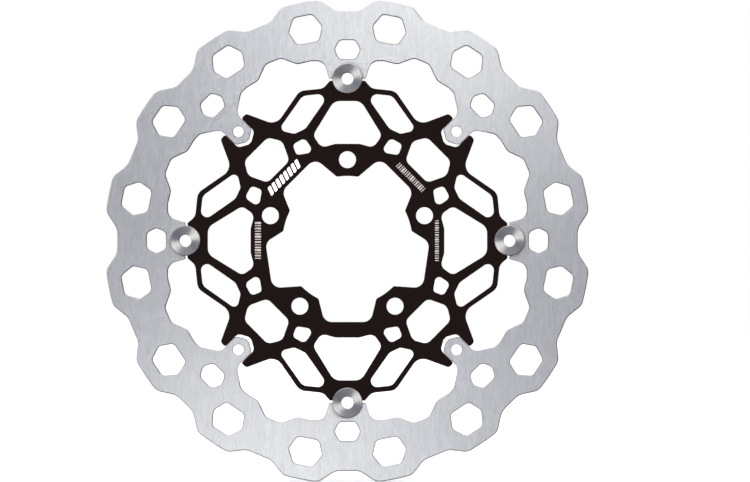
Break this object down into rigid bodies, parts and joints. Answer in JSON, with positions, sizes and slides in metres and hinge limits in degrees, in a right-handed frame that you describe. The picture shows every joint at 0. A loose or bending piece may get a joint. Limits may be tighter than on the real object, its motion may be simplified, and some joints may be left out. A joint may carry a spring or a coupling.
{
  "type": "floating brake disc",
  "caption": "Floating front brake disc: a drilled steel ring with a scalloped edge, held by sprung bobbins on a black spidered carrier.",
  "frame": {"origin": "centre of the hub mounting face, on the spin axis at the back of the carrier", "axes": "+Y along the spin axis, out of the hub face towards the wheel; -Y is the front; +Z is 12 o'clock, on one of the bobbins"},
  "size_m": [0.2972, 0.0104, 0.2972],
  "materials": {
    "ring_steel": "ground stainless brake steel with a fine straight grain",
    "black_anodised": "satin black hard-anodised aluminium",
    "bobbin_aluminium": "turned and grey anodised, with circular tool marks",
    "washer_steel": "plain bright steel",
    "spring_steel": "stainless spring strip",
    "clip_steel": "black phosphated spring steel"
  },
  "bodies": {
    "carrier": {"carrier": "black_anodised"},
    "friction_ring": {"friction_ring": "ring_steel"},
    "bobbin_right": {"bobbin_right": "bobbin_aluminium", "washer_right": "washer_steel", "wave_spring_right": "spring_steel", "circlip_right": "clip_steel"},
    "bobbin_top": {"bobbin_top": "bobbin_aluminium", "washer_top": "washer_steel", "wave_spring_top": "spring_steel", "circlip_top": "clip_steel"},
    "bobbin_left": {"bobbin_left": "bobbin_aluminium", "washer_left": "washer_steel", "wave_spring_left": "spring_steel", "circlip_left": "clip_steel"},
    "bobbin_bottom": {"bobbin_bottom": "bobbin_aluminium", "washer_bottom": "washer_steel", "wave_spring_bottom": "spring_steel", "circlip_bottom": "clip_steel"}
  },
  "joints": [
    {"name": "ring_float", "type": "slide", "parent": "carrier", "child": "friction_ring", "axis": [0, 1, 0], "range_m": [-0.00015, 0.00015]},
    {"name": "bobbin_right_spin", "type": "hinge", "parent": "carrier", "child": "bobbin_right", "pos_m": [0.1, 0, 0], "axis": [0, 1, 0], "continuous": true},
    {"name": "bobbin_top_spin", "type": "hinge", "parent": "carrier", "child": "bobbin_top", "pos_m": [0, 0, 0.1], "axis": [0, 1, 0], "continuous": true},
    {"name": "bobbin_left_spin", "type": "hinge", "parent": "carrier", "child": "bobbin_left", "pos_m": [-0.1, 0, 0], "axis": [0, 1, 0], "continuous": true},
    {"name": "bobbin_bottom_spin", "type": "hinge", "parent": "carrier", "child": "bobbin_bottom", "pos_m": [0, 0, -0.1], "axis": [0, 1, 0], "continuous": true}
  ]
}
